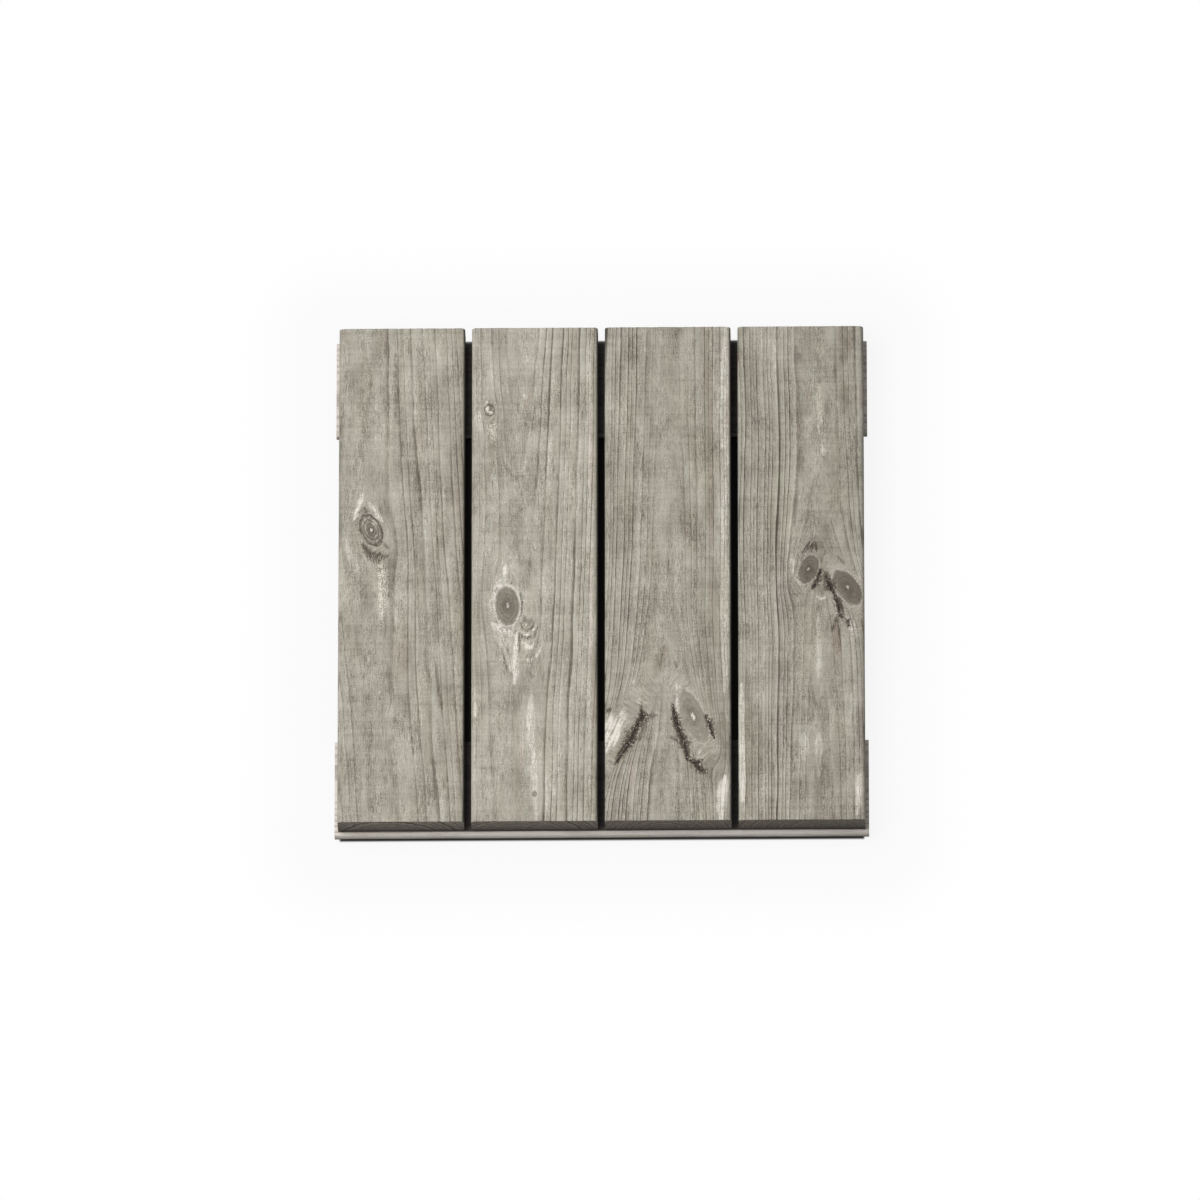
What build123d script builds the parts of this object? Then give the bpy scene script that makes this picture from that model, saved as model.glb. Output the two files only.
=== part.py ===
"""A square wooden deck tile: four rounded decking boards on two flat cross battens.

The boards lie side by side along Y with a drainage gap between them. A batten runs
across under each end, and every crossing is held by two wood screws driven up from
below, with their heads sunk in the batten, so no fastener shows on the deck.

Frame: X across the boards, Y along them, Z up, with the ground at Z = 0 and the origin
under the middle of the tile. Sizes are in millimetres.
"""
import os

from build123d import *

# Decking boards
board_count = 4
board_length = 500.0
board_width = 120.0
board_thickness = 28.0
board_edge_radius = 4.0
board_gap = 6.5

# Cross battens under the boards
batten_width = 95.0
batten_thickness = 12.0
batten_edge_radius = 3.0
batten_step = 4.0  # how far the pair of battens stands forward of the boards

# Pan-head wood screws with a square drive, driven up through the battens into the boards
screw_shank_diameter = 4.0
screw_head_diameter = 8.5
screw_head_height = 2.2
screw_point_length = 6.0
screw_point_width = 0.5  # across the flat end of the four-sided point
screw_point_cover = 4.5  # wood left between a screw's point and the deck surface
screw_head_recess = 0.5  # how far a head lies above the batten's underside
screw_side_inset = 30.0  # from a board's long edges to its screws
screw_batten_inset = 28.0  # from a batten's long edges to its screws
drive_width = 2.8
drive_depth = 1.5
hole_clearance = 0.25  # around a screw's head and shank in the batten
screw_sides = 16  # flats that stand for each circle of the screws and their holes

# Values that follow from those above
tile_height = batten_thickness + board_thickness
board_pitch = board_width + board_gap
deck_width = board_count * board_width + (board_count - 1) * board_gap
batten_length = deck_width + board_gap  # neighbouring tiles keep the same gap
board_centre_y = batten_step / 2
batten_centre_y = -batten_step / 2
batten_offset_y = (board_length - batten_width) / 2
screw_length = tile_height - screw_point_cover - screw_head_recess
fillet_limit = 0.45  # largest share of a plank's thickness that its edge radius may take


def board_centres_x():
    """X of each board's centre line, from left to right."""
    first = -(board_count - 1) * board_pitch / 2
    return [first + index * board_pitch for index in range(board_count)]


def batten_centres_y():
    """Y of each batten's centre line, by node name."""
    return {
        "front_batten": batten_centre_y - batten_offset_y,
        "rear_batten": batten_centre_y + batten_offset_y,
    }


def screw_places(columns, rows):
    """Screw axes at the crossings of board centre lines and batten centre lines.

    Each crossing has two screws set on a diagonal, so that they don't split the wood.
    """
    reach_x = board_width / 2 - screw_side_inset
    reach_y = batten_width / 2 - screw_batten_inset
    return [
        (x + side * reach_x, y + side * reach_y)
        for x in columns
        for y in rows
        for side in (-1, 1)
    ]


def plank(length, width, thickness, edge_radius):
    """A plank along Y, centred on the origin, with its four long edges rounded."""
    radius = min(edge_radius, fillet_limit * thickness)
    section = Plane.XZ * RectangleRounded(width, thickness, radius)
    return extrude(section, amount=length / 2, both=True)


def round_section(diameter):
    """A screw's or hole's round section, drawn with flats because there are so many of them."""
    return RegularPolygon(radius=diameter / 2, side_count=screw_sides)


def screw_point():
    """A screw's cut point: a square that fits in the shank's circle, narrowing to its end."""
    base_width = screw_shank_diameter / 2**0.5
    base = Rectangle(base_width, base_width)
    end = Pos(0, 0, screw_point_length) * Rectangle(screw_point_width, screw_point_width)
    return loft([base.face(), end.face()])


def screw():
    """One wood screw, standing on its head at Z = 0."""
    shank_length = screw_length - screw_point_length
    head = extrude(round_section(screw_head_diameter), amount=screw_head_height)
    shank = extrude(round_section(screw_shank_diameter), amount=shank_length)
    point = Pos(0, 0, shank_length) * screw_point()
    drive = extrude(Rectangle(drive_width, drive_width), amount=drive_depth)
    return head + shank + point - drive


def pilot_hole():
    """What a screw's hole takes out of a board: the shank's own size, as deep as its point."""
    return extrude(round_section(screw_shank_diameter), amount=screw_head_recess + screw_length)


def batten_hole():
    """What a screw's hole takes out of a batten, with the head's seat sunk from below."""
    seat_section = round_section(screw_head_diameter + 2 * hole_clearance)
    shank_section = round_section(screw_shank_diameter + 2 * hole_clearance)
    seat = extrude(seat_section, amount=screw_head_recess + screw_head_height)
    return seat + extrude(shank_section, amount=batten_thickness)


def deck_board(x):
    """A board on its centre line at x, with a blind hole for each of its screws."""
    z = batten_thickness + board_thickness / 2
    board = Pos(x, board_centre_y, z) * plank(
        board_length, board_width, board_thickness, board_edge_radius
    )
    hole = pilot_hole()
    for place_x, place_y in screw_places([x], batten_centres_y().values()):
        board -= Pos(place_x, place_y, 0) * hole
    return board


def cross_batten(y):
    """A batten on its centre line at y, with a stepped hole for each of its screws."""
    blank = plank(batten_length, batten_width, batten_thickness, batten_edge_radius)
    batten = Pos(0, y, batten_thickness / 2) * Rot(0, 0, 90) * blank
    hole = batten_hole()
    for place_x, place_y in screw_places(board_centres_x(), [y]):
        batten -= Pos(place_x, place_y, 0) * hole
    return batten


def batten_screws():
    """All the screws, as separate solids in one group."""
    places = screw_places(board_centres_x(), batten_centres_y().values())
    pattern = screw()
    return Compound([Pos(x, y, screw_head_recess) * pattern for x, y in places])


def main():
    """Model every piece and write it to its own file."""
    pieces = {
        f"deck_board_{number}": deck_board(x)
        for number, x in enumerate(board_centres_x(), start=1)
    }
    for name, y in batten_centres_y().items():
        pieces[name] = cross_batten(y)
    pieces["batten_screws"] = batten_screws()

    os.makedirs("parts", exist_ok=True)
    for name, solid in pieces.items():
        export_step(solid, f"parts/{name}.step")


main()
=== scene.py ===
"""A weathered wooden deck tile, dressed for its photograph.

The four deck boards are rebuilt with the relief of old softwood: raised rings, knots,
checks, a torn edge and worn arrises. The cross battens and the screws keep their solid
shapes and get their own finishes. Places on a board are in millimetres from its left
edge, its front end and its upper face.
"""

import logging
import math
from dataclasses import dataclass, field
from enum import Enum
from typing import Union

import bpy
import numpy as np
from mathutils import Matrix, Vector
from mathutils.geometry import delaunay_2d_cdt


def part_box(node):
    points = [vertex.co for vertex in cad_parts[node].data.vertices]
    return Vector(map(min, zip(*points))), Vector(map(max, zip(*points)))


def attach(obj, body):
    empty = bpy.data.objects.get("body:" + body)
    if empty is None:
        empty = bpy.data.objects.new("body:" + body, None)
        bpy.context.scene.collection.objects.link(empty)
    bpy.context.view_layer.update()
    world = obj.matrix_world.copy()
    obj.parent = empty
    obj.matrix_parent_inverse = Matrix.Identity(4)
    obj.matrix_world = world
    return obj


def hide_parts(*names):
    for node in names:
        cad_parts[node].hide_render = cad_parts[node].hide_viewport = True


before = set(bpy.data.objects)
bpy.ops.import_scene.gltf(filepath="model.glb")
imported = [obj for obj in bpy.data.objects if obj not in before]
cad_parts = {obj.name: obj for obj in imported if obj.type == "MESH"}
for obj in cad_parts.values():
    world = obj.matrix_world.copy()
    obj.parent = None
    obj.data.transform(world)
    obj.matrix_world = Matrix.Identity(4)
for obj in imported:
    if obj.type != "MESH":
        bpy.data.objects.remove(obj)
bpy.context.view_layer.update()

Array = np.ndarray
Colour = tuple[float, float, float, float]
Place = tuple[float, float]
Value = Union[float, "Shade"]

MM = 0.001
WHITE: Colour = (1.0, 1.0, 1.0, 1.0)

log = logging.getLogger("deck_tile")


def paint(red: float, green: float, blue: float) -> Colour:
    """A colour as a shader takes it.

    Args:
        red: Red as seen on a screen, 0 to 255.
        green: Green as seen on a screen, 0 to 255.
        blue: Blue as seen on a screen, 0 to 255.

    Returns:
        The linear colour, opaque.
    """
    parts = []
    for level in (red, green, blue):
        share = level / 255.0
        parts.append(share / 12.92 if share <= 0.04045 else ((share + 0.055) / 1.055) ** 2.4)
    return (parts[0], parts[1], parts[2], 1.0)


def ease(value: Array, low: float, high: float) -> Array:
    """A smooth step from 0 at low to 1 at high, or the reverse where low is the larger."""
    share = np.clip((value - low) / (high - low), 0.0, 1.0)
    return share * share * (3.0 - 2.0 * share)


def lattice(points: Array, seed: int) -> Array:
    """Smooth random heights, one lattice cell to each unit.

    Args:
        points: Rows of three coordinates.
        seed: Which of many unrelated fields to use.

    Returns:
        One value from -1 to 1 for each row.
    """
    base = np.floor(points).astype(np.int64)
    part = points - base
    part = part * part * (3.0 - 2.0 * part)
    total = np.zeros(len(points))
    for corner in range(8):
        step = np.array([corner & 1, corner >> 1 & 1, corner >> 2 & 1])
        cell = base + step
        mixed = cell[:, 0] * 374761393 + cell[:, 1] * 668265263 + cell[:, 2] * 1274126177
        mixed = (mixed + seed * 1442695041) & 0xFFFFFFFF
        mixed = ((mixed ^ (mixed >> 13)) * 1103515245) & 0xFFFFFFFF
        mixed = ((mixed ^ (mixed >> 16)) * 668265263) & 0xFFFFFFFF
        weight = np.prod(np.where(step == 1, part, 1.0 - part), axis=1)
        total += weight * (mixed / 2147483648.0 - 1.0)
    return total


class Shade:
    """One output of a shader node, with arithmetic that adds Math nodes."""

    def __init__(self, graph: "Graph", socket: bpy.types.NodeSocket) -> None:
        """Hold the socket and the graph that new nodes go into."""
        self.graph = graph
        self.socket = socket

    def __add__(self, other: Value) -> "Shade":
        """Sum."""
        return self.graph.maths("ADD", self, other)

    __radd__ = __add__

    def __sub__(self, other: Value) -> "Shade":
        """Difference."""
        return self.graph.maths("SUBTRACT", self, other)

    def __rsub__(self, other: Value) -> "Shade":
        """Difference from a number."""
        return self.graph.maths("SUBTRACT", other, self)

    def __mul__(self, other: Value) -> "Shade":
        """Product."""
        return self.graph.maths("MULTIPLY", self, other)

    __rmul__ = __mul__

    def __truediv__(self, other: Value) -> "Shade":
        """Quotient."""
        return self.graph.maths("DIVIDE", self, other)

    def __rtruediv__(self, other: Value) -> "Shade":
        """A number divided by this."""
        return self.graph.maths("DIVIDE", other, self)


class Graph:
    """The nodes of one material or of the world."""

    def __init__(self, tree: bpy.types.NodeTree) -> None:
        """Start from an empty tree."""
        self.tree = tree
        tree.nodes.clear()

    def add(
        self,
        kind: str,
        settings: dict[str, object] | None = None,
        sockets: dict[str | int, object] | None = None,
        output: str | int = 0,
    ) -> Shade:
        """Add one node.

        Args:
            kind: The node's type, without the words that all shader nodes start with.
            settings: Properties, which are set first; stops fills a colour ramp.
            sockets: Values or links of its inputs, by name or number.
            output: The output that is wanted.

        Returns:
            That output.
        """
        node = self.tree.nodes.new("ShaderNode" + kind)
        for name, value in (settings or {}).items():
            if name == "stops":
                self.fill_ramp(node.color_ramp, value)
            else:
                setattr(node, name, value)
        for name, value in (sockets or {}).items():
            if isinstance(value, Shade):
                self.tree.links.new(value.socket, node.inputs[name])
            else:
                node.inputs[name].default_value = value
        return Shade(self, node.outputs[output])

    def fill_ramp(self, ramp: bpy.types.ColorRamp, stops: tuple[tuple[float, Colour], ...]) -> None:
        """Give a ramp its stops.

        Args:
            ramp: The ramp of a new node, with its two first stops.
            stops: Place and colour of each stop, in order.
        """
        ramp.elements.remove(ramp.elements[1])
        ramp.elements[0].position = stops[0][0]
        ramp.elements[0].color = stops[0][1]
        for place, colour in stops[1:]:
            stop = ramp.elements.new(place)
            stop.color = colour

    def maths(self, operation: str, first: Value, second: Value = 0.0) -> Shade:
        """One Math node."""
        return self.add("Math", {"operation": operation}, {0: first, 1: second})

    def step(self, value: Shade, low: float, high: float) -> Shade:
        """A smooth step from 0 at low to 1 at high, which may be the smaller."""
        return self.add(
            "MapRange",
            {"interpolation_type": "SMOOTHSTEP"},
            {0: value, 1: low, 2: high, 3: 0.0, 4: 1.0},
        )

    def ramp(self, value: Shade, stops: tuple[tuple[float, Colour], ...]) -> Shade:
        """Colours read off a ramp."""
        return self.add("ValToRGB", {"stops": stops}, {0: value})

    def blend(self, first: object, second: object, share: Value) -> Shade:
        """From the first colour to the second."""
        return self.add("Mix", {"data_type": "RGBA"}, {0: share, 6: first, 7: second}, 2)

    def tint(self, colour: Shade, filter_colour: Colour, share: Value) -> Shade:
        """A colour seen through a coloured stain."""
        settings = {"data_type": "RGBA", "blend_type": "MULTIPLY"}
        return self.add("Mix", settings, {0: share, 6: colour, 7: filter_colour}, 2)

    def axis(self, name: str) -> Shade:
        """One of the object's own coordinates, in metres."""
        return self.add("SeparateXYZ", None, {"Vector": self.add("TexCoord", output="Object")}, name)

    def flow(self) -> Shade:
        """Places with the fibres drawn straight, as a board's mesh tells."""
        across = self.attribute("drawn") * MM
        return self.add("CombineXYZ", None, {"X": across, "Y": self.axis("Y"), "Z": self.axis("Z")})

    def noise(
        self,
        size: tuple[float, float, float],
        detail: float = 2.0,
        roughness: float = 0.5,
        place: Shade | None = None,
    ) -> Shade:
        """Random cloud that is fixed to the object.

        Args:
            size: Millimetres that one cloud measures along X, Y and Z.
            detail: How many finer layers lie on it.
            roughness: How strong the finer layers are.
            place: Where to read it, if not at the object's own coordinates.

        Returns:
            A value of about 0 to 1, mostly near the middle.
        """
        place = place or self.add("TexCoord", output="Object")
        scale = tuple(1.0 / (length * MM) for length in size)
        spread = self.add("VectorMath", {"operation": "MULTIPLY"}, {0: place, 1: scale})
        sockets = {"Vector": spread, "Scale": 1.0, "Detail": detail, "Roughness": roughness}
        return self.add("TexNoise", None, sockets)

    def attribute(self, name: str) -> Shade:
        """A number that the mesh carries at its points."""
        return self.add("Attribute", {"attribute_name": name}, None, "Fac")

    def close(self, kind: str, surface: Shade) -> None:
        """Lead the finished shader to the material's or the world's output."""
        node = self.tree.nodes.new("ShaderNodeOutput" + kind)
        self.tree.links.new(surface.socket, node.inputs["Surface"])

    def close_wood(self, colour: Shade, roughness: Shade, height: Shade) -> None:
        """Lead a dry wood to the material's output.

        Args:
            colour: Its colour.
            roughness: Its roughness.
            height: Its finest relief, of which 1 is half a millimetre.
        """
        bump = {"Strength": 0.5, "Distance": 0.5 * MM, "Height": height}
        sockets = {
            "Base Color": colour,
            "Roughness": roughness,
            "Normal": self.add("Bump", None, bump, "Normal"),
            "Specular IOR Level": 0.28,
        }
        self.close("Material", self.add("BsdfPrincipled", None, sockets))


def new_material(name: str) -> tuple[bpy.types.Material, Graph]:
    """An empty material.

    Args:
        name: Its name.

    Returns:
        The material and its graph.
    """
    material = bpy.data.materials.new(name)
    material.use_nodes = True
    return material, Graph(material.node_tree)


@dataclass(frozen=True)
class KnotLook:
    """How one kind of knot shows.

    Attributes:
        bark: Strength of the thin dark line round it.
        halo: Strength of the pale rim outside that line.
        fleck: Strength of pale flecks inside.
        pull: How far the fibres bend round it, as a share of its own width.
        fill: Whether the branch itself is cut open, and not only the fibres over it.
    """

    bark: float
    halo: float
    fleck: float
    pull: float
    fill: bool = True


class KnotKind(Enum):
    """The kinds of knot in these boards."""

    RINGED = KnotLook(bark=0.9, halo=0.15, fleck=0.5, pull=1.1)
    TIGHT = KnotLook(bark=0.12, halo=0.9, fleck=0.0, pull=1.2)
    SPLIT = KnotLook(bark=0.12, halo=0.4, fleck=0.0, pull=1.2)
    PIN = KnotLook(bark=0.4, halo=0.9, fleck=0.0, pull=1.3)
    SPIKE = KnotLook(bark=0.0, halo=0.0, fleck=0.0, pull=1.35, fill=False)
    BURIED = KnotLook(bark=0.0, halo=0.0, fleck=0.0, pull=0.8, fill=False)


class StainKind(Enum):
    """What a mark on a board is, by the mesh value that carries it."""

    PALE = "pale"
    BROWN = "brown"
    DARK = "dark"
    GRIT = "grit"


@dataclass(frozen=True)
class Oval:
    """A leaning oval place on a board's upper face.

    Attributes:
        across: Its middle from the board's left edge.
        along: Its middle from the board's front end.
        half_width: Half its width across.
        half_length: Half its length along the board.
        lean: Degrees that its far end turns to the right.
    """

    across: float
    along: float
    half_width: float
    half_length: float
    lean: float

    def local(self, across: Array, along: Array) -> tuple[Array, Array]:
        """Places in the oval's own directions.

        Args:
            across: From the board's left edge.
            along: From the board's front end.

        Returns:
            Distances across and along the oval from its middle.
        """
        turn = math.radians(self.lean)
        side = across - self.across
        ahead = along - self.along
        return (
            side * math.cos(turn) - ahead * math.sin(turn),
            side * math.sin(turn) + ahead * math.cos(turn),
        )

    def radius(self, across: Array, along: Array) -> Array:
        """Distance from the middle, where 1 is the outline."""
        side, ahead = self.local(across, along)
        return np.hypot(side / self.half_width, ahead / self.half_length)


@dataclass(frozen=True)
class Knot(Oval):
    """A branch that comes up through a board.

    Attributes:
        tone: Lightness inside, 0 dark to 1 pale.
        kind: How it shows.
    """

    tone: float
    kind: KnotKind

    def press(self, across: Array, along: Array) -> Array:
        """How hard the knot pushes the fibres aside.

        Args:
            across: From the board's left edge.
            along: From the board's front end.

        Returns:
            The share of its distance from the knot's axis that a fibre owes to the knot.
        """
        side, ahead = self.local(across, along)
        reach = self.kind.value.pull * self.half_width
        slender = 0.62 * self.half_width / self.half_length
        squared = side**2 + (slender * ahead) ** 2
        close = np.exp(-((self.radius(across, along) / 3.4) ** 2))
        return close * np.minimum(1.0, reach**2 / np.maximum(squared, 1e-6))


@dataclass(frozen=True)
class Crack:
    """A dark open check, drawn as a line of places with half its width at each."""

    path: tuple[Place, ...]
    half_widths: tuple[float, ...]


@dataclass(frozen=True)
class Stain:
    """A soft mark along a line of places."""

    kind: StainKind
    path: tuple[Place, ...]
    width: float
    strength: float


@dataclass(frozen=True)
class Tear(Oval):
    """A patch where fibres are torn out of an edge.

    Attributes:
        depth: How deep the fibres are gone.
    """

    depth: float


@dataclass(frozen=True)
class Heart:
    """Where the middle of the tree lay, which sets how the rings run through a board.

    Attributes:
        across: From the board's left edge, half way along.
        depth: Below the upper face, half way along.
        drift: How far it moves to the right from half way to the rear end.
        dive: How much deeper it is at the rear end than half way.
        ring: Thickness of a year's growth.
        left: How strong the dark lines are to the left of it.
        right: How strong the dark lines are to the right of it.
        shade: How much lighter the whole board is than its neighbours.
        seed: Which random waver the rings have.
    """

    across: float
    depth: float
    drift: float
    dive: float
    ring: float
    left: float
    right: float
    shade: float
    seed: int


@dataclass(frozen=True)
class PilotHole:
    """A screw's blind hole in a board's lower face.

    Attributes:
        outline: Places across and along the board, in order round the hole.
        depth: How far below the board's upper face it ends.
    """

    outline: Array
    depth: float


def path_distance(across: Array, along: Array, path: tuple[Place, ...]) -> tuple[Array, Array]:
    """Distance to a line of places.

    Args:
        across: From the board's left edge.
        along: From the board's front end.
        path: Two or more places.

    Returns:
        The distance, and how many places along the line its nearest point lies.
    """
    nearest = np.full(len(across), 1e9)
    station = np.zeros(len(across))
    for index, (start, end) in enumerate(zip(path, path[1:])):
        run = (end[0] - start[0], end[1] - start[1])
        squared = max(run[0] ** 2 + run[1] ** 2, 1e-9)
        share = ((across - start[0]) * run[0] + (along - start[1]) * run[1]) / squared
        share = np.clip(share, 0.0, 1.0)
        gap = np.hypot(across - start[0] - share * run[0], along - start[1] - share * run[1])
        closer = gap < nearest
        nearest = np.where(closer, gap, nearest)
        station = np.where(closer, index + share, station)
    return nearest, station


@dataclass(frozen=True)
class Section:
    """A plank's rounded cross-section, cut into short lengths.

    Attributes:
        width: Across.
        thickness: From the upper face to the lower.
        radius: Of the four rounded edges.
        top_cells: Lengths over the upper face.
        side_cells: Lengths down each side.
        bottom_cells: Lengths over the lower face.
        corner_cells: Lengths round each edge.
    """

    width: float
    thickness: float
    radius: float
    top_cells: int
    side_cells: int
    bottom_cells: int
    corner_cells: int

    def outline(self) -> tuple[Array, Array]:
        """Points round the section.

        Returns:
            Places across and in depth, and the outward directions at them.
        """
        flat = self.width / 2 - self.radius
        upper = self.thickness / 2 - self.radius
        middles = np.array(((flat, upper), (flat, -upper), (-flat, -upper), (-flat, upper)))
        firsts = (90.0, 0.0, -90.0, -180.0)
        cells = (self.side_cells, self.bottom_cells, self.side_cells, self.top_cells)
        points = []
        outward = []
        for middle, following, first, count in zip(middles, np.roll(middles, -1, axis=0), firsts, cells):
            for angle in np.radians(np.linspace(first, first - 90.0, self.corner_cells + 1)):
                direction = np.array((math.cos(angle), math.sin(angle)))
                points.append(middle + self.radius * direction)
                outward.append(direction)
            start = points[-1]
            end = following + self.radius * outward[-1]
            for share in np.linspace(0.0, 1.0, count + 1)[1:-1]:
                points.append(start + share * (end - start))
                outward.append(outward[-1])
        places = np.array(points) * (1.0, -1.0) + (self.width / 2, self.thickness / 2)
        return places, np.array(outward)

    def inside(self, pitch: float) -> Array:
        """Places spread over the section, away from its outline.

        Args:
            pitch: Distance between them.

        Returns:
            Places across and in depth.
        """
        spread_x = np.arange(pitch, self.width, pitch)
        spread_z = np.arange(pitch, self.thickness, pitch)
        grid = np.stack(np.meshgrid(spread_x, spread_z), axis=-1).reshape(-1, 2)
        half = np.array((self.width / 2, self.thickness / 2))
        past = np.abs(grid - half) - (half - self.radius)
        outside = np.hypot(*np.maximum(past, 0.0).T) + np.minimum(past.max(axis=1), 0.0)
        return grid[outside < self.radius - 0.7 * pitch]


@dataclass(frozen=True)
class BoardFinish:
    """Silver-grey softwood that has stood unsealed in the rain for years.

    Attributes:
        tones: Open wood, from late wood to bleached fibres.
        knot_tones: Cut branches, from their rings to their pith.
        end_tones: Sawn ends, dark end grain with painted shade in it.
        brown: Stain where the grey has not set in.
        rose: Faint warm stain.
        olive: Faint green stain.
        bark: Line round a knot, and crumbs beside a check.
        check: The dark inside of a check, painted shade of its depth.
        crumb: Loose wood in a check.
        shadow: Stain beside a check.
        painted_shade: Painted shade in the gaps between boards and low on the sawn ends.
    """

    tones: tuple[tuple[float, Colour], ...] = (
        (0.0, paint(78, 72, 64)),
        (0.25, paint(118, 112, 101)),
        (0.5, paint(160, 155, 143)),
        (0.75, paint(187, 182, 170)),
        (1.0, paint(226, 221, 212)),
    )
    knot_tones: tuple[tuple[float, Colour], ...] = (
        (0.0, paint(74, 67, 58)),
        (0.4, paint(114, 107, 96)),
        (0.75, paint(154, 148, 136)),
        (1.0, paint(214, 209, 198)),
    )
    end_tones: tuple[tuple[float, Colour], ...] = (
        (0.0, paint(58, 52, 45)),
        (0.5, paint(108, 101, 91)),
        (1.0, paint(150, 143, 131)),
    )
    brown: Colour = paint(219, 210, 203)
    rose: Colour = paint(253, 249, 247)
    olive: Colour = paint(250, 251, 247)
    bark: Colour = paint(64, 57, 51)
    check: Colour = paint(32, 27, 23)
    crumb: Colour = paint(98, 89, 80)
    shadow: Colour = paint(130, 121, 111)
    painted_shade: Colour = paint(44, 40, 36)

    @property
    def bleached(self) -> Colour:
        """The palest fibres."""
        return self.tones[-1][1]

    def rings(self, graph: Graph) -> tuple[Shade, Shade, Shade]:
        """Year rings.

        Args:
            graph: The material's graph.

        Returns:
            The dark late wood of each year, the pale early wood that follows it, and a
            number drawn for each year, all from 0 to 1.
        """
        age = graph.attribute("age") + (graph.noise((4.0, 70.0, 4.0), 3.0) - 0.5) * 0.2
        part = graph.maths("FRACT", age)
        year = graph.add("TexWhiteNoise", {"noise_dimensions": "1D"}, {"W": age - part}, "Value")
        late = graph.step(part, 0.68, 0.92) * graph.step(part, 1.0, 0.95)
        early = graph.step(part, 0.42, 0.06)
        return late, early, year

    def open_wood(self, graph: Graph, fibre: Shade, streak: Shade, speck: Shade) -> tuple[Shade, Shade]:
        """Wood between the knots.

        Args:
            graph: The material's graph.
            fibre: Fine noise along the fibres.
            streak: Broader noise along the fibres.
            speck: Fine noise without direction.

        Returns:
            Its colour, and the strength of its ring lines.
        """
        late, early, year = self.rings(graph)
        flow = graph.flow()
        blotch = graph.noise((17.0, 38.0, 17.0), 3.0, 0.55, flow)
        fade = graph.step(graph.noise((36.0, 180.0, 36.0)), 0.34, 0.6)
        line = late * (0.44 + 0.52 * year) * (0.4 + 0.6 * fade) * graph.attribute("contrast")
        line = line * (0.1 + 1.8 * speck)
        torn = graph.step(0.4 * fibre + 0.3 * streak + 0.3 * speck, 0.4, 0.56)
        pale = graph.attribute("pale") * (0.35 + 0.65 * torn)
        dark = graph.attribute("dark") * (0.5 + 0.5 * graph.step(fibre, 0.62, 0.4))
        hair = graph.step(graph.noise((0.6, 20.0, 0.6), 2.0, 0.5, flow), 0.58, 0.74)
        crumbs = graph.noise((0.9, 1.2, 0.9), 1.0)
        rough = graph.step(graph.noise((11.0, 60.0, 11.0), 3.0, 0.6), 0.36, 0.62)
        chatter = graph.noise((60.0, 3.0, 60.0), 2.0)
        tone = 0.522 + graph.attribute("shade") - 0.55 * line + 0.12 * early * graph.attribute("contrast")
        tone = tone + 0.3 * (streak - 0.5) + 0.64 * (blotch - 0.5) + 0.2 * (chatter - 0.5)
        tone = tone + graph.attribute("grit") * (1.9 * (crumbs - 0.5) + 0.05)
        tone = tone + (0.4 + 0.55 * rough) * (fibre - 0.5) + (0.42 + 0.55 * rough) * (speck - 0.5)
        tone = tone - (0.08 + 0.26 * rough) * hair
        tone = tone + 0.5 * pale - 0.5 * dark + 0.58 * graph.attribute("bare")
        colour = graph.ramp(tone, self.tones)

        # Warm and green stains
        hue = graph.noise((18.0, 110.0, 18.0), 2.0)
        colour = graph.tint(colour, self.rose, graph.step(hue, 0.53, 0.72))
        colour = graph.tint(colour, self.olive, graph.step(hue, 0.52, 0.32))
        brown = graph.attribute("brown") * (0.35 + 0.65 * graph.step(streak, 0.36, 0.6))
        return graph.tint(colour, self.brown, brown), line

    def knots(self, graph: Graph, colour: Shade, speck: Shade) -> tuple[Shade, Shade]:
        """Cut branches.

        Args:
            graph: The material's graph.
            colour: The open wood.
            speck: Fine noise without direction.

        Returns:
            The colour with the knots in it, and where the knots are.
        """
        bark = graph.attribute("bark")
        waver = (graph.noise((5.0, 7.0, 5.0), 2.0) - 0.5) * (0.36 - 0.28 * bark)
        radius = graph.attribute("knot") + waver + (graph.noise((1.6, 2.2, 1.6), 3.0, 0.6) - 0.5) * 0.2
        core = graph.step((radius - 1.0) * (3.8 + 5.0 * bark), 0.5, -0.5)
        growth = graph.maths("FRACT", radius * 4.3)
        ring = graph.step(growth, 0.2, 0.85) * graph.step(growth, 1.0, 0.9)
        cloud = graph.noise((3.4, 5.0, 3.4), 3.0, 0.6)
        broad = graph.noise((9.0, 12.0, 9.0), 1.0)
        tone = graph.attribute("knot_tone") + 0.7 * graph.attribute("pale") - 0.4 * graph.attribute("dark")
        tone = tone - (0.09 + 0.22 * bark) * ring
        tone = tone + 0.4 * (speck - 0.5) + 0.38 * (cloud - 0.5) + 0.24 * (broad - 0.5)
        tone = tone + 0.1 * graph.step(radius, 0.5, 0.95) - 0.16 * graph.step(radius, 0.45, 0.2)
        fleck = graph.attribute("fleck") * graph.step(cloud, 0.5, 0.64)
        pith = graph.step(radius + 0.5 * (speck - 0.5), 0.19, 0.08)
        tone = tone + 0.66 * pith + 0.55 * fleck * graph.step(radius, 0.3, 0.5)
        halo = graph.attribute("halo")
        rim = graph.step(radius, 1.0, 1.1) * graph.step((radius - 1.07) / (0.04 + 0.15 * halo), 1.0, 0.2)
        pale_rim = rim * halo * (0.25 + 0.75 * graph.step(speck, 0.4, 0.58))
        colour = graph.blend(colour, self.bleached, 0.85 * pale_rim)
        colour = graph.blend(colour, graph.ramp(tone, self.knot_tones), core)
        outline = graph.step(radius, 0.86, 0.985) * graph.step(radius, 1.1, 1.015)
        return graph.blend(colour, self.bark, outline * bark * graph.step(cloud, 0.3, 0.5)), core

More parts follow.
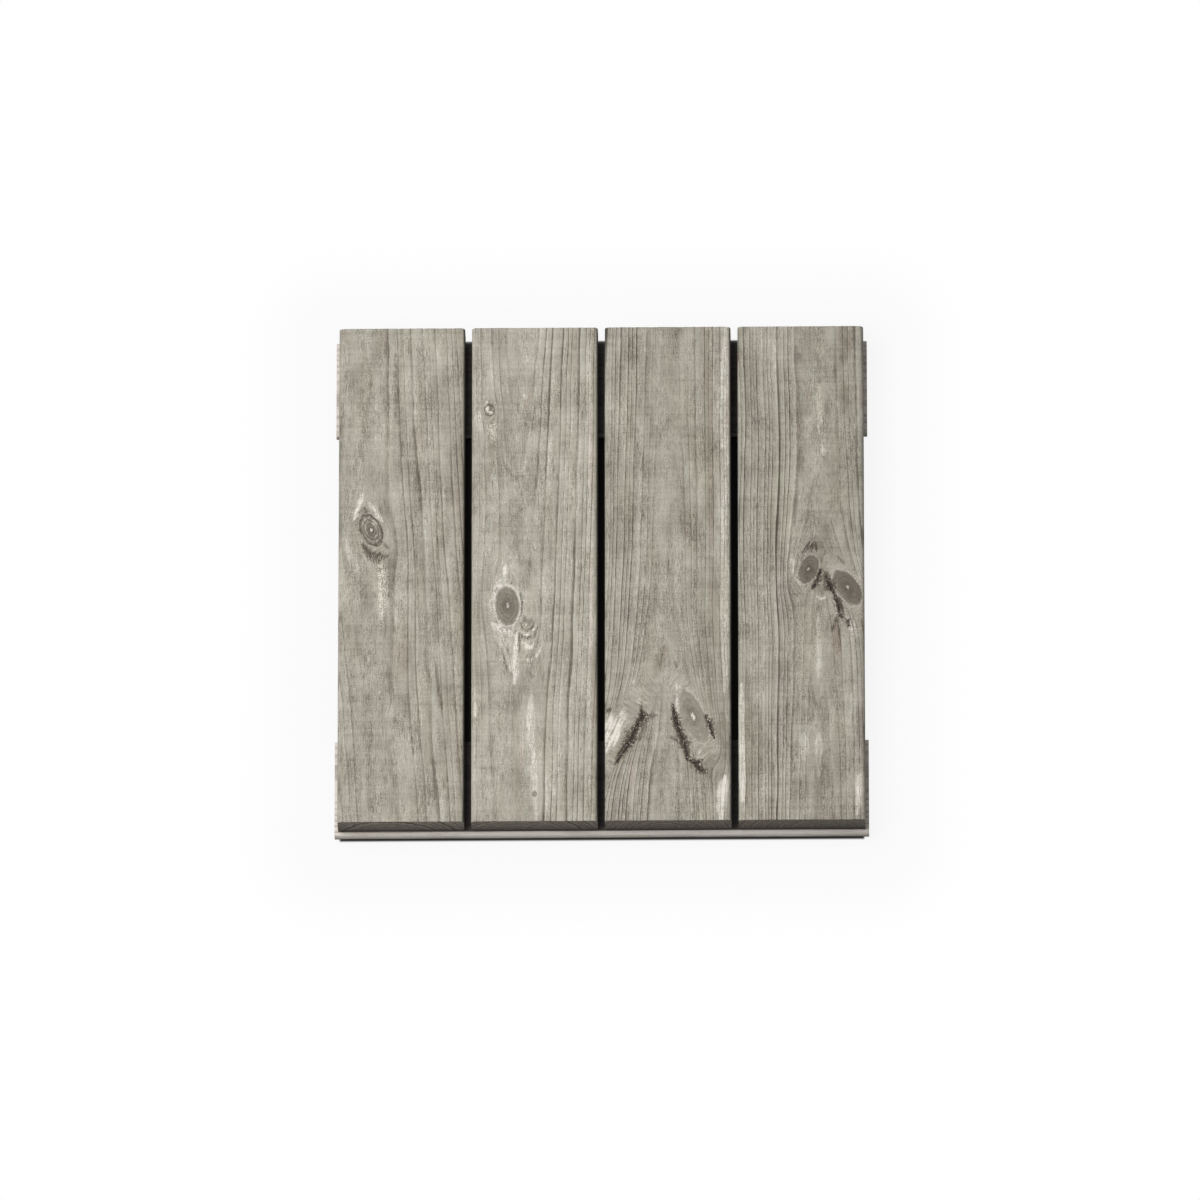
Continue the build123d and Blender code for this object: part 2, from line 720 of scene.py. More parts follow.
    def checks(self, graph: Graph, colour: Shade, speck: Shade) -> tuple[Shade, Shade]:
        """Open checks with crumbling edges.

        Args:
            graph: The material's graph.
            colour: The wood round them.
            speck: Fine noise without direction.

        Returns:
            The colour with the checks in it, and where they gape.
        """
        broad = 3.6 * (graph.noise((3.6, 6.0, 3.6), 2.0) - 0.5)
        fine = graph.noise((1.7, 2.1, 1.7), 2.0, 0.6)
        check = graph.attribute("crack")
        near = graph.step(check + broad + 4.0 * (fine - 0.5), 2.5, 0.6)
        colour = graph.tint(colour, self.shadow, 0.9 * near)
        spots = graph.step(fine, 0.48, 0.38) * graph.step(check, 2.9, 1.1)
        colour = graph.blend(colour, self.bark, 0.75 * spots)
        glints = graph.step(fine, 0.6, 0.68) * graph.step(check, 2.6, 1.4)
        colour = graph.blend(colour, self.bleached, 0.6 * glints)
        # The gaping middle is painted shade of the check's depth, with lighter crumbs
        gape = graph.step(check + broad + 6.4 * (fine - 0.5), 0.9, 0.5)
        inside = graph.blend(self.check, self.crumb, graph.step(speck + 0.22 * check, 0.5, 0.72))
        return graph.blend(colour, inside, gape), gape

    def material(self) -> bpy.types.Material:
        """Put the finish together, from the values that the boards' meshes carry.

        Returns:
            The finished material.
        """
        material, graph = new_material("weathered_board")
        flow = graph.flow()
        fibre = graph.noise((0.7, 8.0, 0.7), 3.0, 0.6, flow)
        streak = graph.noise((3.2, 55.0, 3.2), 3.0, 0.6, flow)
        speck = graph.noise((0.9, 1.3, 0.9), 2.0, 0.6)
        colour, line = self.open_wood(graph, fibre, streak, speck)
        colour, core = self.knots(graph, colour, speck)
        colour, gape = self.checks(graph, colour, speck)

        # Painted shade on faces that look into a gap
        colour = graph.blend(colour, self.painted_shade, 0.86 * graph.attribute("painted_shade"))

        # Sawn ends
        late, _, year = self.rings(graph)
        end = graph.attribute("end")
        saw = graph.noise((0.5, 4.0, 9.0), 2.0)
        above = graph.axis("Z")
        end_tone = 0.71 - 1.1 * late * (0.4 + 0.6 * year) + 0.8 * (streak - 0.5)
        end_tone = end_tone + 0.7 * (saw - 0.5) + 0.6 * (speck - 0.5)
        # Painted shade towards the bottom, darkest where the ends meet the batten; the ends also darken
        # towards the right
        end_tone = end_tone - 0.36 * graph.step(above, 0.036, 0.013)
        end_tone = end_tone - 0.17 * graph.step(graph.axis("X"), -0.22, 0.2)
        sawn = graph.ramp(end_tone, self.end_tones)
        sawn = graph.blend(sawn, self.painted_shade, 0.9 * graph.step(above, 0.021, 0.0145))
        colour = graph.blend(colour, sawn, end)

        height = 0.5 * line + 0.8 * fibre + 0.4 * speck + 0.4 * end * saw - 0.6 * gape
        graph.close_wood(colour, 0.74 + 0.16 * fibre - 0.06 * core, height)
        return material


@dataclass
class DeckBoard:
    """One board of the deck, rebuilt with the relief of weathered wood.

    Attributes:
        number: Its place from the left, from 1.
        heart: How its rings run.
        knots: Its knots.
        cracks: Its open checks.
        stains: Its pale, brown and dark marks.
        tears: Torn places on its edges.
        section: Its cross-section.
        half_length: Half its length.
        row_length: Distance between rows of points along it.
        hole_spread: Distance within which the solid's points belong to one screw's hole.
        arris: How far its end edges are worn in.
        values: What its mesh tells its material at each point, by name.
    """

    number: int
    heart: Heart
    knots: tuple[Knot, ...]
    cracks: tuple[Crack, ...] = ()
    stains: tuple[Stain, ...] = ()
    tears: tuple[Tear, ...] = ()
    section: Section = Section(
        width=120.0,
        thickness=28.0,
        radius=4.0,
        top_cells=128,
        side_cells=7,
        bottom_cells=15,
        corner_cells=6,
    )
    half_length: float = 250.0
    row_length: float = 1.1
    hole_spread: float = 6.0
    arris: float = 0.35
    values: dict[str, Array] = field(default_factory=dict)

    @property
    def node(self) -> str:
        """The solid that this board stands for."""
        return f"deck_board_{self.number}"

    def noise(self, places: Array, size: tuple[float, float, float], seed: int) -> Array:
        """Random waver of this board's own, at rows of places across, along and in depth."""
        return lattice(places / np.array(size), 100 * self.heart.seed + seed)

    def age(self, places: Array) -> Array:
        """Years of growth from the middle of the tree.

        Args:
            places: Across, along and in depth.

        Returns:
            The age of the wood at each place.
        """
        across, along, depth = places.T
        drawn = across.copy()
        clear = np.ones(len(across))
        for knot in self.knots:
            press = knot.press(across, along)
            drawn -= knot.local(across, along)[0] * press
            clear *= 1.0 - press
        self.values["drawn"] = drawn
        ahead = (along - self.half_length) / self.half_length
        flow = np.stack((np.zeros(len(along)), along, np.zeros(len(along))), axis=1)
        middle = self.heart.across + self.heart.drift * ahead + 1.2 * self.noise(flow, (1.0, 95.0, 1.0), 1)
        deep = self.heart.depth + self.heart.dive * ahead + 1.2 * self.noise(flow, (1.0, 130.0, 1.0), 2)
        far = np.hypot(drawn - middle, depth - deep)
        age = far / self.heart.ring
        age += 0.28 * np.sin(1.9 * age + self.heart.seed)
        age += 0.20 * self.noise(places, (24.0, 150.0, 24.0), 3)
        age += 0.08 * self.noise(places, (7.0, 40.0, 7.0), 4)
        steep = np.abs(drawn - middle) / far
        strong = np.where(drawn < middle, self.heart.left, self.heart.right)
        self.values["contrast"] = strong * (0.25 + 0.75 * ease(steep, 0.2, 0.62)) * ease(clear, 0.05, 0.55)
        return age

    def knot_values(self, places: Array) -> None:
        """Work out which knot each place belongs to, and how it shows there.

        Args:
            places: Across, along and in depth.
        """
        across, along, _ = places.T
        nearest = np.full(len(across), 9.0)
        tone = np.zeros(len(across))
        looks = {name: np.zeros(len(across)) for name in ("bark", "halo", "fleck")}
        for knot in self.knots:
            look = knot.kind.value
            if not look.fill:
                continue
            radius = knot.radius(across, along)
            closer = radius < nearest
            nearest = np.where(closer, radius, nearest)
            tone = np.where(closer, knot.tone, tone)
            for name, held in looks.items():
                looks[name] = np.where(closer, getattr(look, name), held)
        self.values.update(looks)
        self.values["knot"] = nearest
        self.values["knot_tone"] = tone
        self.values["shade"] = np.full(len(across), self.heart.shade)
        self.values["pale"] = 0.25 * looks["halo"] * ease(nearest, 1.7, 1.15) * ease(nearest, 0.95, 1.1)

    def mark_values(self, places: Array) -> None:
        """Work out the checks, stains and torn places.

        Args:
            places: Across, along and in depth.
        """
        across, along, depth = places.T
        near_top = ease(depth, 9.0, 3.0)
        waver = 0.8 * self.noise(places, (4.0, 9.0, 4.0), 5)
        crack = np.full(len(across), 3.0)
        for check in self.cracks:
            gap, station = path_distance(across, along, check.path)
            half = np.interp(station, range(len(check.half_widths)), check.half_widths)
            crack = np.minimum(crack, (gap + 0.4 * waver) / (half + 0.45))
        self.values["crack"] = np.where(near_top > 0.3, crack, 3.0)
        for kind in StainKind:
            self.values.setdefault(kind.value, np.zeros(len(across)))
        for stain in self.stains:
            gap, station = path_distance(across, along, stain.path)
            last = len(stain.path) - 1.0
            taper = 0.35 + 0.65 * ease(np.minimum(station, last - station), 0.0, 0.25 * last)
            gap = gap * (1.0 + 0.45 * self.noise(places, (3.0, 24.0, 3.0), 6))
            mask = stain.strength * ease(gap, 1.1 * stain.width * taper, 0.2 * stain.width) * near_top
            name = stain.kind.value
            self.values[name] = np.maximum(self.values[name], mask)
        self.values["torn"] = np.zeros(len(across))
        self.values["bare"] = np.zeros(len(across))
        for tear in self.tears:
            side, ahead = tear.local(across, along)
            radius = tear.radius(across, along)
            mask = ease(radius + 0.22 * self.noise(places, (5.0, 16.0, 5.0), 7), 1.0, 0.62) * near_top
            turned = np.stack((side, ahead, depth), axis=1)
            fibres = self.noise(turned, (1.7, 14.0, 9.0), 13) + 0.5 * self.noise(turned, (1.2, 7.0, 9.0), 14)
            gone = tear.depth * mask * (0.72 - 0.28 * fibres)
            bared = mask * np.clip(0.74 + 0.9 * fibres, 0.1, 1.0)
            self.values["torn"] = np.maximum(self.values["torn"], gone)
            self.values["bare"] = np.maximum(self.values["bare"], bared)

    def painted_shade(self, places: Array, outward: Array) -> Array:
        """Painted shade on the sides, most of it where a neighbour stands close.

        Args:
            places: Across, along and in depth.
            outward: Outward directions across and up.

        Returns:
            The share of painted shade at each place.
        """
        shut_left = 1.0 if self.number > 1 else 0.3
        shut_right = 1.0 if self.number < 4 else 0.15
        on_left = places[:, 0] < self.section.width / 2
        # Painted shade, reaching up onto the right rounded edge
        left = shut_left * ease(outward[:, 1], 0.55, -0.2) * ease(places[:, 2], 1.5, 7.0)
        right = shut_right * ease(outward[:, 1], 0.95, 0.5) * ease(places[:, 2], 0.1, 1.8)
        return np.where(on_left, left, right)

    def relief(self, places: Array, outward: Array) -> Array:
        """How far the surface is worn in.

        Args:
            places: Across, along and in depth.
            outward: Outward directions across and up.

        Returns:
            Millimetres in from the board's true section.
        """
        upper = ease(outward[:, 1], 0.15, 0.8)
        lower = ease(outward[:, 1], -0.4, -0.9)
        part = np.mod(self.values["age"], 1.0)
        ridge = ease(part, 0.25, 0.85) * ease(part, 1.0, 0.92)
        ridge *= np.clip(self.values["contrast"], 0.0, 1.0)
        worn = 0.14 * (1.0 - ridge) + 0.05 * (1.0 + self.noise(places, (3.0, 30.0, 3.0), 8))
        knot = self.values["knot"]
        rim = ease(knot, 0.82, 0.97) * ease(knot, 1.2, 1.03)
        worn += rim * (0.25 + 0.6 * self.values["bark"])
        worn -= 0.12 * ease(knot, 0.9, 0.6)
        worn = np.maximum(worn, 0.0) + 2.2 * ease(self.values["crack"], 1.1, 0.2)
        worn += self.values["torn"]
        edge = ease(np.abs(places[:, 0] - self.section.width / 2), 53.0, 58.5)
        dents = np.maximum(self.noise(places, (9.0, 22.0, 9.0), 10) - 0.25, 0.0)
        worn += edge * (0.55 * dents + 0.06)
        planed = 0.07 * (1.0 + self.noise(places, (2.0, 60.0, 4.0), 11)) * (1.0 - lower)
        return upper * worn + (1.0 - upper) * planed

    def rows(self, length: float) -> Array:
        """Places of the rows of points along the board, close together at its ends.

        Args:
            length: The board's length.

        Returns:
            Distances from its front end.
        """
        count = round((length - 2.0) / self.row_length)
        body = np.linspace(1.0, length - 1.0, count + 1)
        return np.concatenate(((0.0, 0.45), body, (length - 0.45, length)))

    def caps(self, outline: Array) -> tuple[Array, list[tuple[int, ...]]]:
        """Triangles that close an end.

        Args:
            outline: Places round the section.

        Returns:
            The places inside the section, and triangles that number the outline first.
        """
        inner = self.section.inside(2.2)
        points = [Vector(place) for place in np.concatenate((outline, inner))]
        ring = list(range(len(outline)))
        _, _, faces, origins, _, _ = delaunay_2d_cdt(points, [], [ring], 1, 1e-5)
        number = [group[0] for group in origins]
        return inner, [tuple(number[index] for index in face) for face in faces]

    def pilot_holes(self, low: Array, high: Array) -> list[PilotHole]:
        """Read the screws' holes from the solid.

        Args:
            low: The solid's lowest corner.
            high: Its highest corner.

        Returns:
            The holes.
        """
        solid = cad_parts[self.node]
        corners = np.array([solid.matrix_world @ vertex.co for vertex in solid.data.vertices]) / MM
        corners = np.unique(np.round(corners, 3), axis=0)
        inside = np.all((corners[:, :2] > low[:2] + 10.0) & (corners[:, :2] < high[:2] - 10.0), axis=1)
        corners = corners[inside]
        depth = high[2] - corners[:, 2].max()
        mouths = corners[corners[:, 2] < low[2] + 0.1][:, :2] - low[:2]
        holes = []
        while len(mouths):
            near = np.hypot(*(mouths - mouths[0]).T) < self.hole_spread
            ring = mouths[near]
            side, ahead = (ring - ring.mean(axis=0)).T
            holes.append(PilotHole(ring[np.argsort(np.arctan2(ahead, side))], depth))
            mouths = mouths[~near]
        return holes

    def hole_cells(self, hole: PilotHole, outline: Array, rows: Array) -> tuple[int, int, int]:
        """Which cells of the lower face a hole takes up.

        Args:
            hole: The hole.
            outline: Places round the section.
            rows: Places of the rows of points.

        Returns:
            The column of cells, and the rows of points at its two ends.
        """
        middle = hole.outline.mean(axis=0)
        reach = np.ptp(hole.outline[:, 1]) / 2 + self.row_length
        under = outline[:, 1] > self.section.thickness - 0.01
        holds = under & (outline[:, 0] > middle[0]) & (np.roll(outline[:, 0], -1) < middle[0])
        first, last = np.searchsorted(rows, (middle[1] - reach, middle[1] + reach))
        return int(np.flatnonzero(holds)[0]), int(first), int(last)

    def hole_faces(self, hole: PilotHole, outline: Array, rows: Array, start: int) -> list[tuple[int, ...]]:
        """Faces round a hole's mouth, down its wall and over its end.

        Args:
            hole: The hole.
            outline: Places round the section.
            rows: Places of the rows of points.
            start: The number of the first point of its mouth, which its end's points follow.

        Returns:
            The faces.
        """
        column, first, last = self.hole_cells(hole, outline, rows)
        around = len(outline)
        climb = [(column, row) for row in range(first, last + 1)]
        border = climb + [(column + 1, row) for _, row in reversed(climb)]
        points = [Vector((outline[place, 0], rows[row])) for place, row in border]
        points += [Vector(place) for place in hole.outline]
        count = len(hole.outline)
        numbers = [row * around + place for place, row in border] + list(range(start, start + count))
        following = [(index + 1) % count for index in range(count)]
        edges = [(len(border) + index, len(border) + after) for index, after in enumerate(following)]
        ring = list(range(len(border)))
        _, _, triangles, origins, _, _ = delaunay_2d_cdt(points, edges, [ring], 1, 1e-5)
        faces = []
        for triangle in triangles:
            corners = [origins[index][0] for index in reversed(triangle)]
            if min(corners) < len(border):
                faces.append(tuple(numbers[corner] for corner in corners))
        end = start + count
        for index, after in enumerate(following):
            faces.append((start + index, end + index, end + after, start + after))
        faces.append(tuple(reversed(range(end, end + count))))
        return faces

    def weather(self, places: Array, outward: Array, length: float) -> Array:
        """Work out the board's values at each place, and wear its surface in.

        Args:
            places: Across, along and in depth.
            outward: Outward directions across and up.
            length: The board's length.

        Returns:
            The worn places.
        """
        self.values["age"] = self.age(places)
        self.knot_values(places)
        self.mark_values(places)
        # Painted shade in the gaps
        self.values["painted_shade"] = self.painted_shade(places, outward)
        at_end = np.minimum(places[:, 1], length - places[:, 1])
        self.values["end"] = ease(at_end, 0.4, 0.1)

        worn = self.relief(places, outward)
        worn += self.arris * np.clip(1.0 - at_end, 0.0, 1.0) ** 2
        formed = places.copy()
        formed[:, 0] -= outward[:, 0] * worn
        formed[:, 2] += outward[:, 1] * worn
        rough = 0.12 * (1.0 + self.noise(places, (2.5, 2.5, 8.0), 12)) * (at_end < 0.01)
        formed[:, 1] += np.where(places[:, 1] < self.half_length, rough, -rough)
        return formed

    def mesh(self) -> bpy.types.Mesh:
        """Build the board's mesh in the frame's place.

        Returns:
            The mesh, with the values that its material reads.
        """
        low, high = (np.array(corner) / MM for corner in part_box(self.node))
        rows = self.rows(high[1] - low[1])
        outline, outward = self.section.outline()
        inner, cap_faces = self.caps(outline)
        holes = self.pilot_holes(low, high)
        around = len(outline)
        cap_start = len(rows) * around
        hole_start = cap_start + 2 * len(inner)

        # Points, row by row, then inside the ends, then round the holes
        shell = np.empty((len(rows), around, 3))
        shell[:, :, 0] = outline[:, 0]
        shell[:, :, 1] = rows[:, None]
        shell[:, :, 2] = outline[:, 1]
        ends = [np.insert(inner, 1, place, axis=1) for place in (rows[0], rows[-1])]
        rings = [
            np.insert(hole.outline, 2, depth, axis=1)
            for hole in holes
            for depth in (self.section.thickness, hole.depth)
        ]
        places = np.concatenate((shell.reshape(-1, 3), *ends, *rings))
        directions = np.zeros((len(places), 2))
        directions[:cap_start] = np.tile(outward, (len(rows), 1))
        formed = self.weather(places, directions, rows[-1])
        self.values["drawn"] += low[0]
        points = np.array((low[0], low[1], high[2])) + formed * (1.0, 1.0, -1.0)

        # Faces round the holes, along the board and over its ends
        kept = np.ones((len(rows) - 1, around), dtype=bool)
        faces = []
        for number, hole in enumerate(holes):
            column, near, far = self.hole_cells(hole, outline, rows)
            kept[near:far, column] = False
            faces += self.hole_faces(hole, outline, rows, hole_start + 2 * number * len(hole.outline))
        faces += self.shell_faces(kept)
        last = cap_start - around
        front = [*range(around), *range(cap_start, cap_start + len(inner))]
        rear = [*range(last, cap_start), *range(cap_start + len(inner), hole_start)]
        for face in cap_faces:
            faces.append(tuple(front[index] for index in reversed(face)))
            faces.append(tuple(rear[index] for index in face))

        mesh = bpy.data.meshes.new(f"weathered_board_{self.number}")
        mesh.from_pydata((points * MM).tolist(), [], faces)
        mesh.validate()
        mesh.update()
        self.finish_mesh(mesh, around, last, hole_start)
        return mesh

    def shell_faces(self, kept: Array) -> list[tuple[int, ...]]:
        """Four-sided faces round and along the board.

        Args:
            kept: Which cells get a face, row by row.

        Returns:
            The faces, facing out.
        """
        row_count, around = kept.shape
        row = np.arange(row_count)[:, None] * around
        here = np.arange(around)[None, :]
        there = (here + 1) % around
        quads = np.stack((row + here, row + there, row + around + there, row + around + here), axis=-1)
        return [tuple(quad) for quad in quads[kept].tolist()]

    def finish_mesh(self, mesh: bpy.types.Mesh, around: int, last: int, hole_start: int) -> None:
        """Smooth the mesh, keep its end edges and holes crisp and store its values.

        Args:
            mesh: The board's mesh.
            around: Points in each row.
            last: The first point of the last row.
            hole_start: The first point of the screws' holes.
        """
        mesh.polygons.foreach_set("use_smooth", np.ones(len(mesh.polygons), dtype=bool))
        ends = np.empty(2 * len(mesh.edges), dtype=np.int64)
        mesh.edges.foreach_get("vertices", ends)
        pairs = ends.reshape(-1, 2)
        on_front = (pairs < around).all(axis=1)
        on_rear = ((pairs >= last) & (pairs < last + around)).all(axis=1)
        sharp = mesh.attributes.new("sharp_edge", "BOOLEAN", "EDGE")
        in_hole = (pairs >= hole_start).all(axis=1)
        sharp.data.foreach_set("value", on_front | on_rear | in_hole)
        for name, numbers in self.values.items():
            if name == "torn":
                continue
            stored = mesh.attributes.new(name, "FLOAT", "POINT")
            stored.data.foreach_set("value", numbers.astype(np.float32))

    def build(self, finish: bpy.types.Material) -> bpy.types.Object:
        """Make the board, dress it and put it in its solid's place.

        Args:
            finish: The boards' material.

        Returns:
            The new piece.
        """
        mesh = self.mesh()
        mesh.materials.append(finish)
        piece = bpy.data.objects.new(mesh.name, mesh)
        bpy.context.scene.collection.objects.link(piece)
        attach(piece, "root")
        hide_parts(self.node)
        return piece


def pale(width: float, strength: float, *path: Place) -> Stain:
    """A bleached or resin-streaked mark."""
    return Stain(StainKind.PALE, path, width, strength)


def brown(width: float, strength: float, *path: Place) -> Stain:
    """A warm mark where the grey has not set in."""
    return Stain(StainKind.BROWN, path, width, strength)


def dark(width: float, strength: float, *path: Place) -> Stain:
    """A smudge of mould or soiling."""
    return Stain(StainKind.DARK, path, width, strength)


def grit(width: float, strength: float, *path: Place) -> Stain:
    """A crumbling place with light and dark specks."""
    return Stain(StainKind.GRIT, path, width, strength)


def board_one() -> DeckBoard:
    """The left-hand board: one bark-ringed knot and wide rings to its right.

    Returns:
        The board, not yet built.
    """
    return DeckBoard(
        number=1,
        heart=Heart(
            across=32.0, depth=46.0, drift=-16.0, dive=-3.0,
            ring=6.2, left=0.45, right=0.62, shade=0.0, seed=1,
        ),
        knots=(Knot(31.2, 294.9, 9.7, 16.6, -23.0, 0.56, KnotKind.RINGED),),
        stains=(
            pale(3.4, 0.95, (14.9, 305.7), (22.6, 331.1)),
            pale(3.8, 0.9, (29.3, 322.0), (41.8, 303.7)),
            pale(6.5, 0.5, (40.9, 262.0), (41.8, 229.5), (40.9, 205.0)),
            grit(7.0, 0.9, (38.0, 268.0), (41.8, 250.0), (41.5, 225.0), (41.0, 196.0)),
            grit(5.0, 0.6, (15.0, 305.0), (22.0, 330.0)),
            dark(2.6, 0.6, (24.0, 318.0), (27.5, 311.0)),
            dark(2.2, 0.7, (33.5, 232.0), (36.0, 226.0)),
            pale(5.0, 0.35, (5.0, 286.0), (20.5, 249.0)),
            brown(6.0, 0.4, (115.0, 495.0), (116.0, 250.0), (115.0, 5.0)),
            dark(5.5, 1.0, (23.0, 280.0), (28.5, 271.0), (37.0, 267.0), (46.6, 268.5)),
            dark(2.6, 0.6, (42.0, 282.5), (47.6, 276.0)),
            dark(2.2, 0.45, (67.8, 309.0), (72.6, 286.0), (74.5, 254.0), (77.4, 193.0)),
            dark(2.0, 0.35, (92.8, 355.0), (94.7, 242.0), (96.6, 203.0)),
            dark(4.0, 0.4, (53.0, 473.0), (60.8, 370.0)),
            dark(2.0, 0.6, (91.4, 166.0), (95.0, 138.0), (99.3, 105.5)),
            dark(7.0, 0.3, (72.0, 100.0), (72.5, 70.0)),
            dark(5.0, 0.3, (48.0, 159.0), (51.5, 119.0)),
            dark(34.0, 0.13, (30.0, 165.0), (30.0, 10.0)),
        ),
    )


def board_two() -> DeckBoard:
    """The second board: a dark knot with a resin streak, and fine rings on the right.

    Returns:
        The board, not yet built.
    """
    return DeckBoard(
        number=2,
        heart=Heart(
            across=46.0, depth=41.0, drift=3.0, dive=-6.0,
            ring=4.7, left=0.45, right=0.9, shade=0.06, seed=2,
        ),
        knots=(
            Knot(34.0, 217.4, 10.9, 19.2, -3.0, 0.5, KnotKind.TIGHT),
            Knot(16.8, 416.0, 4.8, 5.8, 0.0, 0.62, KnotKind.RINGED),
            Knot(60.0, 27.7, 2.6, 3.4, 0.0, 0.4, KnotKind.PIN),
            Knot(54.0, 201.0, 7.5, 13.5, -6.0, 0.5, KnotKind.BURIED),
        ),
        stains=(
            pale(4.0, 1.0, (42.6, 190.0), (41.8, 168.0), (40.5, 139.0)),
            pale(4.4, 0.5, (57.6, 126.0), (56.7, 102.6), (59.0, 52.0), (62.0, 1.5)),
            pale(5.0, 0.8, (20.0, 199.0), (32.0, 192.0), (43.0, 186.0)),
            pale(2.6, 0.4, (22.0, 190.0), (31.0, 172.0), (36.0, 156.0)),
            pale(11.0, 0.42, (29.0, 190.0), (34.0, 174.0), (39.0, 152.0)),
            dark(1.2, 0.5, (24.0, 182.0), (31.0, 164.0), (35.5, 146.0)),
            dark(1.1, 0.4, (31.0, 186.0), (36.0, 168.0), (38.0, 154.0)),
            grit(7.0, 0.8, (26.0, 240.0), (20.5, 222.0), (21.5, 200.0), (33.0, 193.0)),
            grit(5.0, 0.7, (45.0, 236.0), (48.0, 218.0), (47.0, 200.0)),
            dark(1.6, 0.8, (45.6, 190.0), (45.4, 170.0)),
            dark(2.2, 1.0, (47.0, 231.0), (48.3, 219.0), (46.6, 207.0)),
            dark(1.4, 0.7, (26.0, 241.0), (22.5, 231.0)),
            dark(7.0, 0.3, (56.0, 168.0), (58.0, 146.0)),
            dark(8.0, 0.5, (49.5, 206.0), (55.0, 191.0)),
            grit(7.0, 1.0, (19.5, 405.0), (19.5, 383.0)),
            pale(6.0, 0.5, (19.5, 403.0), (19.5, 388.0)),
            pale(4.0, 0.5, (7.0, 414.0), (8.0, 392.0)),
            pale(4.0, 0.6, (49.0, 431.0), (53.0, 428.0)),
            pale(2.4, 0.25, (32.0, 372.0), (34.0, 362.0), (40.0, 354.0), (48.0, 354.0)),
            dark(1.6, 0.34, (29.0, 372.0), (30.7, 361.3), (35.2, 352.6), (41.9, 346.7), (50.2, 349.5)),
            dark(1.3, 0.55, (59.9, 426.1), (58.4, 405.6), (56.2, 391.4)),
            dark(1.8, 0.5, (62.5, 372.0), (63.5, 355.0), (67.3, 339.0)),
            dark(11.0, 0.22, (45.0, 400.0), (43.0, 375.0)),
            dark(9.0, 0.24, (56.0, 341.0), (56.0, 318.0)),
            dark(34.0, 0.15, (58.0, 400.0), (58.0, 262.0)),
            dark(2.0, 1.0, (47.0, 200.0), (48.6, 194.2), (52.4, 191.8), (57.1, 195.0), (59.1, 200.8)),
            dark(2.2, 1.0, (45.8, 190.1), (48.6, 186.0), (53.2, 184.4), (59.4, 186.8), (62.5, 195.0)),
            pale(2.0, 1.0, (47.8, 181.1), (51.7, 177.0), (57.1, 174.6), (59.4, 179.5)),
            pale(1.4, 0.6, (49.5, 188.3), (53.5, 187.0), (58.5, 190.0), (61.0, 198.0)),
            pale(1.6, 0.8, (51.0, 201.0), (52.5, 197.0)),
            pale(1.5, 0.6, (50.1, 163.9), (55.5, 161.4), (62.5, 167.2), (67.2, 177.0), (66.4, 190.0)),
            grit(5.0, 0.6, (47.0, 200.0), (52.0, 186.0), (56.0, 176.0)),
            pale(3.4, 1.0, (31.0, 249.0), (32.2, 257.0)),
            pale(3.0, 0.6, (24.5, 236.0), (27.5, 243.0)),
            pale(4.0, 0.4, (112.0, 480.0), (113.0, 300.0), (112.0, 20.0)),
            pale(3.0, 0.9, (3.5, 119.0), (4.2, 106.0)),
            pale(2.4, 1.0, (13.6, 425.0), (14.6, 415.0)),
            pale(1.8, 1.0, (16.0, 414.5), (20.0, 413.0)),
            dark(1.3, 0.9, (13.0, 418.5), (15.5, 421.5), (19.5, 420.0)),
            brown(7.0, 0.5, (115.0, 495.0), (115.0, 240.0), (116.0, 10.0)),
            brown(5.0, 0.8, (19.0, 404.0), (19.5, 376.0), (16.0, 345.0)),
            brown(4.0, 0.4, (66.0, 195.0), (66.5, 145.0)),
        ),
    )


